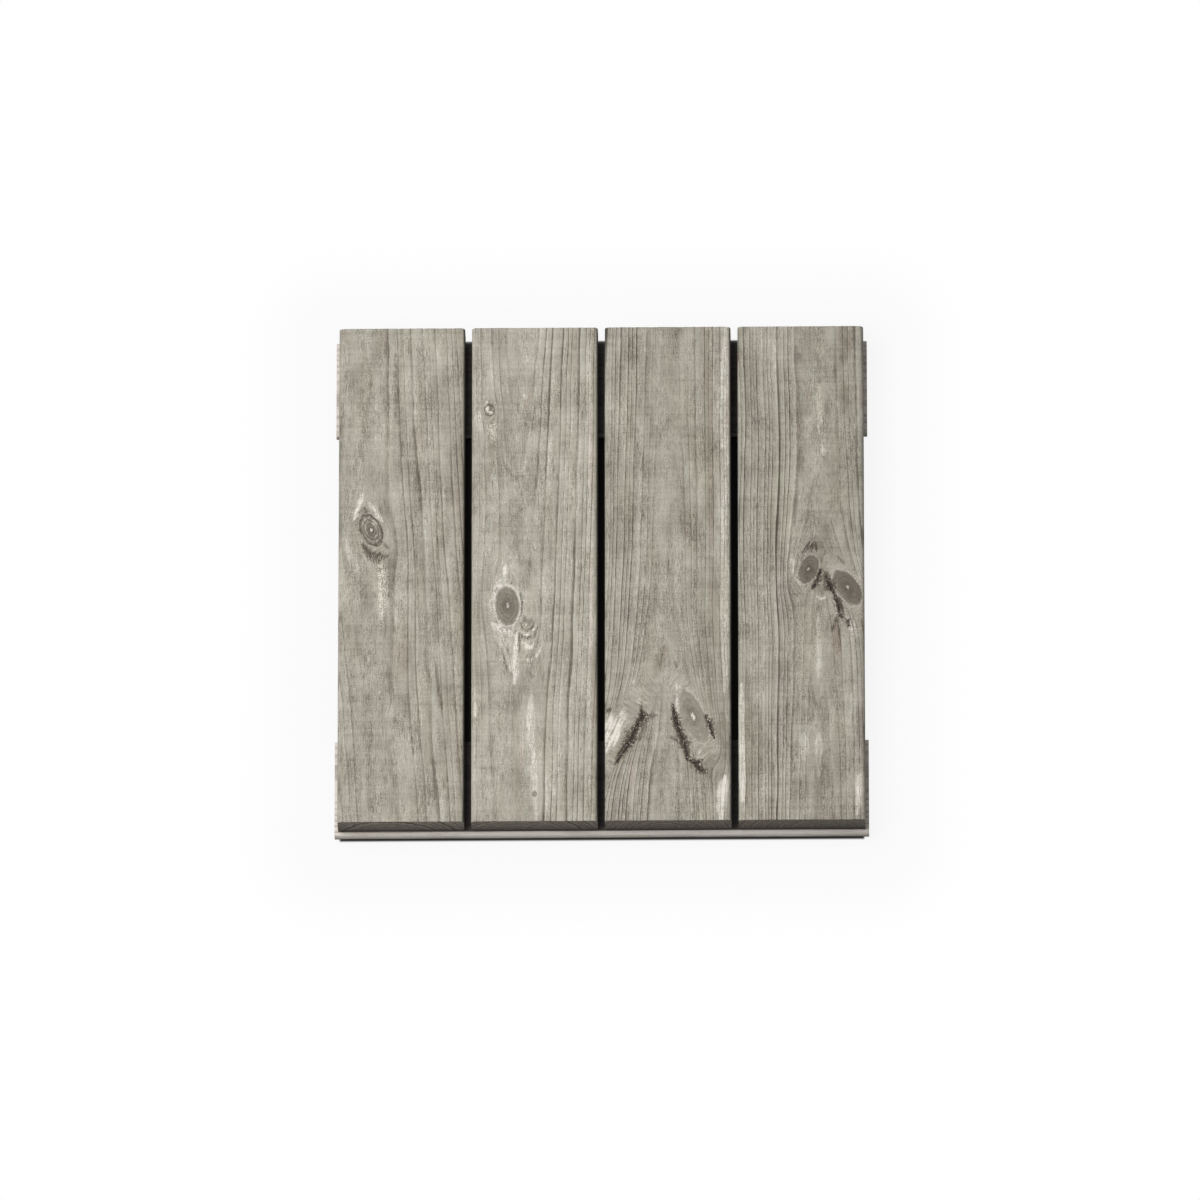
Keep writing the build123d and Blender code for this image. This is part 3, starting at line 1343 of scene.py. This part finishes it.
def board_three() -> DeckBoard:
    """The third board: a long slanting knot and a torn spike knot on its left edge.

    Returns:
        The board, not yet built.
    """
    return DeckBoard(
        number=3,
        heart=Heart(
            across=60.0, depth=36.0, drift=3.0, dive=4.0,
            ring=3.6, left=0.95, right=0.7, shade=-0.02, seed=3,
        ),
        knots=(
            Knot(83.7, 105.0, 10.2, 27.9, -22.3, 0.64, KnotKind.SPLIT),
            Knot(18.0, 94.0, 12.0, 28.0, 30.0, 0.6, KnotKind.SPIKE),
        ),
        cracks=(
            Crack(
                (
                    (34.5, 111.2), (36.6, 105.2), (32.7, 98.6), (28.9, 89.7),
                    (24.8, 80.9), (17.9, 69.0), (10.5, 56.9),
                ),
                (0.3, 2.6, 1.7, 1.9, 2.4, 0.7, 0.2),
            ),
            Crack(((21.3, 79.4), (13.0, 66.1)), (0.5, 0.2)),
            Crack(((29.8, 82.3), (25.0, 74.5)), (0.6, 0.0)),
            Crack(((64.4, 116.3), (66.5, 106.0), (68.7, 98.6), (72.1, 88.2)), (0.2, 1.6, 2.2, 1.3)),
            Crack(((72.1, 88.2), (74.9, 79.4), (77.7, 70.5), (78.4, 61.7)), (1.3, 2.4, 1.4, 0.5)),
            Crack(((81.0, 60.5), (86.5, 57.5), (92.2, 60.2)), (0.3, 1.6, 0.3)),
            Crack(((86.0, 56.0), (90.0, 52.0), (96.5, 48.6)), (0.8, 2.1, 0.3)),
            Crack(((95.0, 106.0), (99.2, 98.6), (102.0, 88.2), (104.0, 82.3)), (0.4, 1.6, 0.8, 0.0)),
        ),
        stains=(
            pale(10.0, 0.5, (115.0, 497.0), (115.0, 300.0), (114.5, 130.0)),
            pale(6.5, 0.95, (114.0, 44.0), (110.5, 28.0), (109.5, 1.0)),
            pale(7.0, 0.5, (90.6, 69.5), (93.0, 60.0)),
            pale(5.0, 0.35, (31.6, 121.0), (37.0, 118.0)),
            pale(4.5, 0.45, (68.0, 138.0), (71.0, 130.0)),
            pale(2.2, 0.85, (67.7, 136.0), (69.2, 106.0), (71.6, 94.0), (75.7, 85.6)),
            brown(7.0, 0.7, (98.8, 495.0), (99.0, 374.0), (101.6, 275.6)),
            brown(5.0, 0.6, (88.0, 369.0), (89.0, 340.0)),
            brown(6.0, 0.45, (7.4, 400.0), (7.6, 260.0)),
            brown(5.0, 0.4, (24.0, 338.0), (24.5, 273.0)),
            brown(7.0, 0.65, (103.0, 253.0), (103.5, 172.0)),
            brown(6.0, 0.5, (58.5, 179.0), (47.5, 145.5)),
            brown(8.0, 0.8, (111.0, 106.0), (113.0, 62.0)),
            brown(13.0, 0.45, (92.0, 84.0), (98.0, 64.0)),
            dark(2.8, 0.95, (1.2, 110.0), (6.0, 112.5)),
            dark(3.6, 0.8, (36.0, 106.0), (43.0, 105.4), (49.0, 106.0)),
            dark(1.8, 0.7, (35.4, 121.0), (34.6, 110.0)),
            dark(2.4, 0.7, (62.0, 84.0), (71.0, 79.0)),
            dark(2.0, 0.7, (68.0, 74.0), (77.0, 72.0)),
            dark(4.0, 0.6, (39.5, 99.0), (33.0, 82.0)),
            dark(5.5, 0.55, (31.0, 98.0), (20.0, 76.0), (10.0, 58.0)),
            dark(4.5, 0.5, (65.5, 106.0), (73.0, 80.0), (80.0, 60.0)),
            brown(9.0, 0.8, (34.0, 104.0), (22.0, 78.0), (10.0, 57.0)),
            brown(9.0, 0.8, (66.0, 106.0), (74.0, 80.0), (82.0, 58.0), (95.0, 50.0)),
            grit(7.0, 0.7, (33.0, 104.0), (24.0, 84.0), (10.0, 60.0)),
            grit(7.0, 0.7, (67.0, 108.0), (74.0, 80.0), (80.0, 62.0), (94.0, 52.0)),
            grit(5.0, 0.6, (97.0, 106.0), (106.0, 76.0), (104.0, 62.0)),
        ),
        tears=(Tear(across=5.5, along=90.0, half_width=14.0, half_length=26.0, lean=24.0, depth=2.2),),
    )


def board_four() -> DeckBoard:
    """The right-hand board: two split knots and fine rings on the left.

    Returns:
        The board, not yet built.
    """
    return DeckBoard(
        number=4,
        heart=Heart(
            across=78.0, depth=38.0, drift=-3.0, dive=5.0,
            ring=3.5, left=1.0, right=0.6, shade=-0.018, seed=4,
        ),
        knots=(
            Knot(67.0, 252.6, 8.6, 14.6, 20.0, 0.32, KnotKind.SPLIT),
            Knot(104.0, 234.0, 10.4, 19.3, -33.0, 0.34, KnotKind.SPLIT),
        ),
        cracks=(
            Crack(((78.6, 252.0), (77.0, 245.0), (75.0, 239.5), (70.5, 233.5)), (0.5, 1.6, 1.4, 0.3)),
            Crack(((84.0, 246.5), (86.3, 240.0), (88.3, 234.0), (91.0, 228.5)), (1.2, 2.4, 2.4, 0.7)),
            Crack(((91.5, 226.5), (94.5, 219.7), (96.5, 211.0)), (0.6, 1.7, 1.5)),
            Crack(((104.5, 199.5), (105.2, 196.0)), (1.0, 0.7)),
            Crack(((97.5, 206.0), (99.0, 204.0)), (0.8, 0.4)),
        ),
        stains=(
            brown(9.0, 0.65, (102.0, 499.0), (102.0, 463.0)),
            brown(7.0, 0.6, (101.0, 443.0), (101.0, 413.0)),
            brown(6.0, 0.6, (66.5, 435.0), (66.5, 408.0)),
            brown(5.0, 0.45, (47.8, 394.0), (48.0, 364.0)),
            brown(6.0, 0.65, (10.7, 111.0), (11.0, 6.0)),
            brown(7.0, 0.4, (96.0, 195.0), (97.0, 3.0)),
            brown(6.0, 0.8, (93.0, 200.0), (93.5, 168.0)),
            pale(4.0, 0.36, (77.4, 440.0), (77.6, 391.0)),
            pale(4.0, 0.65, (82.0, 383.6), (82.0, 369.0)),
            pale(5.0, 0.7, (2.9, 136.7), (3.6, 19.0)),
            pale(4.4, 0.42, (75.6, 206.8), (75.6, 143.0)),
            pale(5.0, 0.5, (61.3, 86.0), (61.0, 61.0)),
            pale(5.0, 0.5, (75.6, 86.0), (75.6, 44.0)),
            pale(4.0, 0.65, (114.4, 44.0), (112.0, 5.8)),
            pale(1.9, 1.0, (75.0, 225.5), (78.6, 222.6), (83.4, 224.0)),
            pale(4.0, 0.5, (51.0, 266.0), (52.0, 250.0)),
            grit(5.0, 0.7, (56.0, 252.0), (60.0, 236.0), (70.0, 232.0)),
            grit(7.0, 0.7, (92.0, 222.0), (98.0, 206.0), (106.0, 194.0)),
            dark(7.0, 0.3, (77.0, 236.0), (80.0, 228.0)),
            brown(9.0, 0.7, (77.0, 262.0), (80.0, 240.0), (78.0, 226.0)),
            dark(1.5, 0.9, (60.5, 268.5), (64.5, 275.0), (68.6, 280.5)),
            dark(1.3, 0.8, (64.6, 270.0), (67.5, 274.5), (70.5, 278.0)),
            dark(1.3, 0.9, (70.2, 271.5), (71.6, 279.0)),
            dark(1.5, 0.9, (74.8, 270.8), (73.8, 276.0), (73.0, 282.0)),
            dark(1.3, 0.6, (94.9, 265.0), (101.3, 257.0)),
            dark(2.4, 0.7, (95.0, 207.0), (91.0, 196.0), (89.0, 190.0)),
            grit(8.0, 0.9, (101.0, 203.0), (112.0, 185.0)),
            pale(6.0, 0.4, (104.0, 202.0), (112.0, 186.0)),
            dark(2.2, 0.6, (95.5, 203.0), (97.0, 170.0)),
        ),
    )


@dataclass(frozen=True)
class BattenFinish:
    """Planed softwood, greyed, with its grain along X, and painted shade low down and under the boards.

    Attributes:
        tones: From late wood to bleached fibres.
        batten_shade: Painted shade at the foot and where the boards lie on it.
        ring: Thickness of a year's growth, in millimetres.
        heart_y: The middle of the tree in front of and behind the tile's middle, in millimetres.
        heart_z: Its height above the ground, in millimetres.
        lower_shade: Heights at which the painted shade low down starts and is full, in millimetres.
        foot: Heights at which the darkest painted shade at the foot starts and is full, in millimetres.
        cover_from: Where the painted shade under the boards starts along Y, and where it is full, in metres.
        cover_to: Where the painted shade under the boards ends along X, and where it is still full, in
            metres.
    """

    tones: tuple[tuple[float, Colour], ...] = (
        (0.0, paint(84, 76, 70)),
        (0.35, paint(128, 119, 111)),
        (0.65, paint(174, 166, 157)),
        (1.0, paint(218, 211, 203)),
    )
    batten_shade: Colour = paint(46, 42, 38)
    ring: float = 4.6
    heart_y: float = 190.0
    heart_z: float = -24.0
    lower_shade: tuple[float, float] = (9.0, 3.0)
    foot: tuple[float, float] = (6.0, 2.5)
    cover_from: tuple[float, float] = (-0.2488, -0.2472)
    cover_to: tuple[float, float] = (0.2502, 0.2490)

    def material(self) -> bpy.types.Material:
        """Put the finish together.

        Returns:
            The finished material.
        """
        material, graph = new_material("batten_wood")
        side = graph.maths("ABSOLUTE", graph.axis("Y")) / MM - self.heart_y
        height = graph.axis("Z") / MM
        rise = height - self.heart_z
        age = graph.maths("SQRT", side * side + rise * rise) / self.ring
        age = age + 1.4 * (graph.noise((150.0, 24.0, 24.0), 3.0) - 0.5)
        part = graph.maths("FRACT", age)
        late = graph.step(part, 0.35, 0.9) * graph.step(part, 1.0, 0.93)
        fibre = graph.noise((22.0, 0.8, 0.8), 3.0, 0.6)
        blotch = graph.noise((70.0, 26.0, 26.0), 4.0, 0.6)
        speck = graph.noise((2.4, 1.2, 1.2), 2.0, 0.6)
        # Painted shade, darker towards the ground
        lower_shade = graph.step(height, *self.lower_shade)
        tone = 0.97 - 0.26 * late + 0.8 * (blotch - 0.5) + 0.6 * (fibre - 0.5) + 0.3 * (speck - 0.5)
        colour = graph.ramp(tone - 0.3 * lower_shade, self.tones)

        # Painted shade at the foot and under the boards
        colour = graph.blend(colour, self.batten_shade, 0.75 * graph.step(height, *self.foot))
        under = graph.step(graph.axis("Y"), *self.cover_from)
        under = under * graph.step(graph.maths("ABSOLUTE", graph.axis("X")), *self.cover_to)
        facing = {"Vector": graph.add("NewGeometry", output="Normal")}
        under = under * graph.step(graph.add("SeparateXYZ", None, facing, "Z"), 0.3, 0.8)
        colour = graph.blend(colour, self.batten_shade, 0.9 * under)
        graph.close_wood(colour, 0.72 + 0.2 * fibre, 0.5 * late + 0.8 * fibre + 0.4 * speck)
        return material


@dataclass(frozen=True)
class ScrewFinish:
    """Dull zinc plating with a little rust.

    Attributes:
        zinc: Bright plating.
        dull: Dulled plating.
        rust: Spots of rust.
    """

    zinc: Colour = paint(186, 184, 178)
    dull: Colour = paint(128, 126, 122)
    rust: Colour = paint(112, 74, 50)

    def material(self) -> bpy.types.Material:
        """Put the finish together.

        Returns:
            The finished material.
        """
        material, graph = new_material("screw_steel")
        cloud = graph.noise((1.6, 1.6, 1.6), 3.0, 0.6)
        spots = graph.step(graph.noise((2.4, 2.4, 2.4), 3.0, 0.6), 0.58, 0.68)
        colour = graph.blend(self.dull, self.zinc, graph.step(cloud, 0.3, 0.7))
        sockets = {
            "Base Color": graph.blend(colour, self.rust, 0.8 * spots),
            "Metallic": 1.0 - 0.9 * spots,
            "Roughness": 0.34 + 0.2 * cloud + 0.3 * spots,
        }
        graph.close("Material", graph.add("BsdfPrincipled", None, sockets))
        return material


@dataclass
class Underframe:
    """The cross battens and screws, which keep their solid shapes.

    Attributes:
        battens: The battens' nodes.
        screws: The screws' node.
    """

    battens: tuple[str, ...] = ("front_batten", "rear_batten")
    screws: str = "batten_screws"

    def dress(self) -> list[str]:
        """Give each solid its finish.

        Returns:
            The names of the solids.
        """
        finishes = dict.fromkeys(self.battens, BattenFinish().material())
        finishes[self.screws] = ScrewFinish().material()
        for name, material in finishes.items():
            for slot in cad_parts[name].material_slots:
                slot.material = material
        return list(finishes)


@dataclass
class Studio:
    """A pale floor, a soft lamp high up on the left, and a dim white room.

    Attributes:
        floor_size: Width of the floor, in metres.
        floor_drop: How far the floor lies below the tile, so that the two don't mix.
        floor_pale: The floor's colour in the open.
        floor_painted_shadow: The floor's dark colour under the tile, a painted shadow.
        shade_half: How far the painted shadow reaches from the tile's middle, along X and Y.
        shade_edge: Width of the shade's soft edge.
        haze: How far out a trace of the shade reaches.
        key_power: The lamp's power.
        key_size: Width of the lamp.
        key_place: Where the lamp hangs.
        room: Light from straight above.
        horizon: Light from the sides.
    """

    floor_size: float = 40.0
    floor_drop: float = 0.0002
    floor_pale: Colour = paint(190, 190, 190)
    floor_painted_shadow: Colour = paint(70, 68, 66)
    shade_half: tuple[float, float] = (0.2472, 0.2522)
    shade_edge: float = 0.0025
    haze: float = 0.12
    key_power: float = 101.0
    key_size: float = 2.4
    key_place: tuple[float, float, float] = (-1.45, -0.1, 3.05)
    room: float = 0.42
    horizon: float = 0.12

    def seen(self, graph: Graph) -> Shade:
        """Tell what is seen from what only gives light.

        Args:
            graph: The graph of the floor or the room.

        Returns:
            1 for what the camera sees, straight or by reflection, and 0 for light.
        """
        camera = graph.add("LightPath", output="Is Camera Ray")
        glossy = graph.add("LightPath", output="Is Glossy Ray")
        through = graph.add("LightPath", output="Is Transmission Ray")
        return graph.maths("MINIMUM", camera + glossy + through, 1.0)

    def floor(self) -> bpy.types.Object:
        """The floor: white from afar, with a painted shadow under the tile and a trace of real shadow beside
        it.

        Returns:
            The floor's object.
        """
        half = self.floor_size / 2
        corners = [(-half, -half, 0.0), (half, -half, 0.0), (half, half, 0.0), (-half, half, 0.0)]
        mesh = bpy.data.meshes.new("floor")
        mesh.from_pydata(corners, [], [(0, 1, 2, 3)])
        material, graph = new_material("pale_floor")
        past = []
        for name, reach in zip("XY", self.shade_half):
            past.append(graph.maths("MAXIMUM", graph.maths("ABSOLUTE", graph.axis(name)) - reach, 0.0))
        away = graph.maths("SQRT", past[0] * past[0] + past[1] * past[1])
        clear = graph.step(away, 0.0, self.shade_edge)
        glow = 0.9 * clear + 0.1 * graph.step(away, 0.0, self.haze)
        # A dark painted shadow under the tile
        shaded = graph.add("BsdfDiffuse", None, {"Color": self.floor_painted_shadow})
        pale_matt = graph.add("BsdfDiffuse", None, {"Color": self.floor_pale})
        matt = graph.add("MixShader", None, {0: clear, 1: shaded, 2: pale_matt})
        white = graph.add("Emission", None, {"Color": WHITE, "Strength": 1.0})
        sockets = {0: glow * self.seen(graph), 1: matt, 2: white}
        graph.close("Material", graph.add("MixShader", None, sockets))
        mesh.materials.append(material)
        floor = bpy.data.objects.new("floor", mesh)
        bpy.context.scene.collection.objects.link(floor)
        floor.location.z = -self.floor_drop
        return floor

    def lamp(self) -> None:
        """Hang the soft lamp."""
        data = bpy.data.lights.new("soft_lamp", "AREA")
        data.shape = "SQUARE"
        data.size = self.key_size
        data.energy = self.key_power
        lamp = bpy.data.objects.new("soft_lamp", data)
        lamp.location = self.key_place
        lamp.rotation_euler = (-Vector(self.key_place)).to_track_quat("-Z", "Y").to_euler()
        bpy.context.scene.collection.objects.link(lamp)

    def sky(self) -> None:
        """Light the room softly from above, white wherever it is seen."""
        world = bpy.data.worlds.new("white_room")
        world.use_nodes = True
        graph = Graph(world.node_tree)
        up = graph.add("SeparateXYZ", None, {"Vector": graph.add("TexCoord", output="Generated")}, "Z")
        strengths = (self.horizon, self.room, 1.0)
        low, high, shown = (
            graph.add("Background", None, {"Color": WHITE, "Strength": strength}) for strength in strengths
        )
        light = graph.add("MixShader", None, {0: graph.step(up, 0.0, 0.8), 1: low, 2: high})
        graph.close("World", graph.add("MixShader", None, {0: self.seen(graph), 1: light, 2: shown}))
        bpy.context.scene.world = world


@dataclass
class PhotoCamera:
    """A camera at the photograph's viewing angle, with the boards upright.

    Attributes:
        lens: Focal length, in millimetres.
        sensor: Width of the sensor, in millimetres.
        frame_width: Width of the picture at the tile, in metres.
        azimuth: Degrees to the right of straight in front.
        elevation: Degrees above the ground.
        target: The point in the middle of the picture.
    """

    lens: float = 600.0
    sensor: float = 36.0
    frame_width: float = 1.1385
    azimuth: float = 2.5
    elevation: float = 69.6
    target: tuple[float, float, float] = (-0.0012, -0.0255, 0.040)

    def place(self) -> bpy.types.Object:
        """Set the camera up.

        Returns:
            The camera's object.
        """
        data = bpy.data.cameras.new("photo_camera")
        data.sensor_width = self.sensor
        data.lens = self.lens
        data.clip_end = 100.0
        side = math.radians(self.azimuth)
        height = math.radians(self.elevation)
        back = Vector(
            (
                math.sin(side) * math.cos(height),
                -math.cos(side) * math.cos(height),
                math.sin(height),
            )
        )
        boards = Vector((0.0, 1.0, 0.0))
        up = (boards - boards.dot(back) * back).normalized()
        right = up.cross(back)
        turn = Matrix((right, up, back)).transposed().to_4x4()
        distance = self.frame_width * self.lens / self.sensor
        camera = bpy.data.objects.new("photo_camera", data)
        camera.matrix_world = Matrix.Translation(Vector(self.target) + distance * back) @ turn
        bpy.context.scene.collection.objects.link(camera)
        bpy.context.scene.camera = camera
        return camera


def main() -> None:
    """Build the boards, dress the underframe and set up the studio."""
    logging.basicConfig(level=logging.INFO, format="%(name)s: %(message)s")
    bpy.context.scene.view_settings.view_transform = "Standard"
    finish = BoardFinish().material()
    for board in (board_one(), board_two(), board_three(), board_four()):
        piece = board.build(finish)
        log.info("built %s with %d faces", piece.name, len(piece.data.polygons))
    for name in Underframe().dress():
        log.info("dressed %s", name)
    studio = Studio()
    studio.floor()
    studio.lamp()
    studio.sky()
    camera = PhotoCamera().place()
    log.info("set up the studio and %s", camera.name)


if __name__ == "__main__":
    main()
